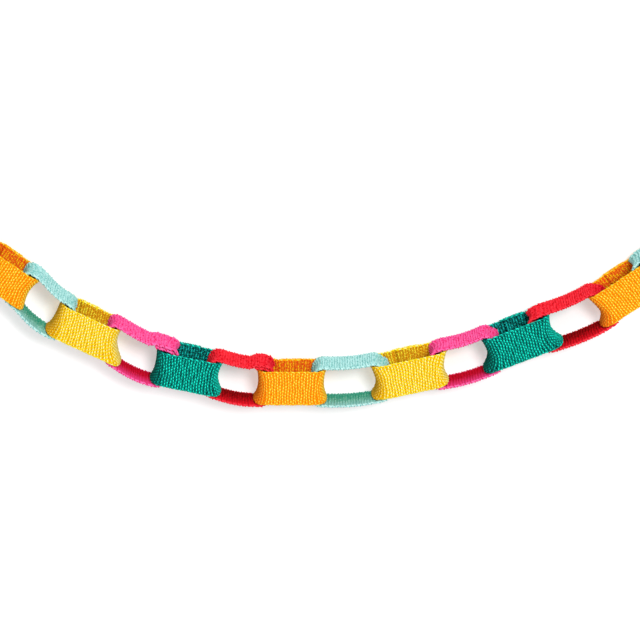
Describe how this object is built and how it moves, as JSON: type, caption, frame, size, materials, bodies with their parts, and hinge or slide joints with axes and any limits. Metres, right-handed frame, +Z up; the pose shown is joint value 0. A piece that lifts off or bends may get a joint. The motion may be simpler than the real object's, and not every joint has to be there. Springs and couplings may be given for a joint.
{
  "type": "fabric chain garland",
  "caption": "Hanging chain garland of interlinked loops of coarse woven cotton webbing in bright colours, each a flattened strip lapped into a loop.",
  "frame": {"origin": "the place inside the left end loop where a hook or pin holds it", "axes": "+X along the garland to its right end, +Y to the back, +Z up; the garland hangs in the XZ plane"},
  "size_m": [0.5459, 0.0323, 0.1464],
  "materials": {
    "red_webbing": "coarse plain weave, matt",
    "orange_webbing": "coarse plain weave, matt",
    "mint_webbing": "coarse plain weave, matt",
    "yellow_webbing": "coarse plain weave, matt",
    "pink_webbing": "coarse plain weave, matt",
    "teal_webbing": "coarse plain weave, matt"
  },
  "bodies": {
    "root": {"link_01_red": "red_webbing", "link_02_orange": "orange_webbing", "link_03_mint": "mint_webbing", "link_04_yellow": "yellow_webbing", "link_05_pink": "pink_webbing", "link_06_teal": "teal_webbing", "link_07_red": "red_webbing", "link_08_orange": "orange_webbing", "link_09_mint": "mint_webbing", "link_10_yellow": "yellow_webbing", "link_11_pink": "pink_webbing", "link_12_teal": "teal_webbing", "link_13_red": "red_webbing", "link_14_orange": "orange_webbing", "link_15_mint": "mint_webbing"}
  },
  "joints": []
}
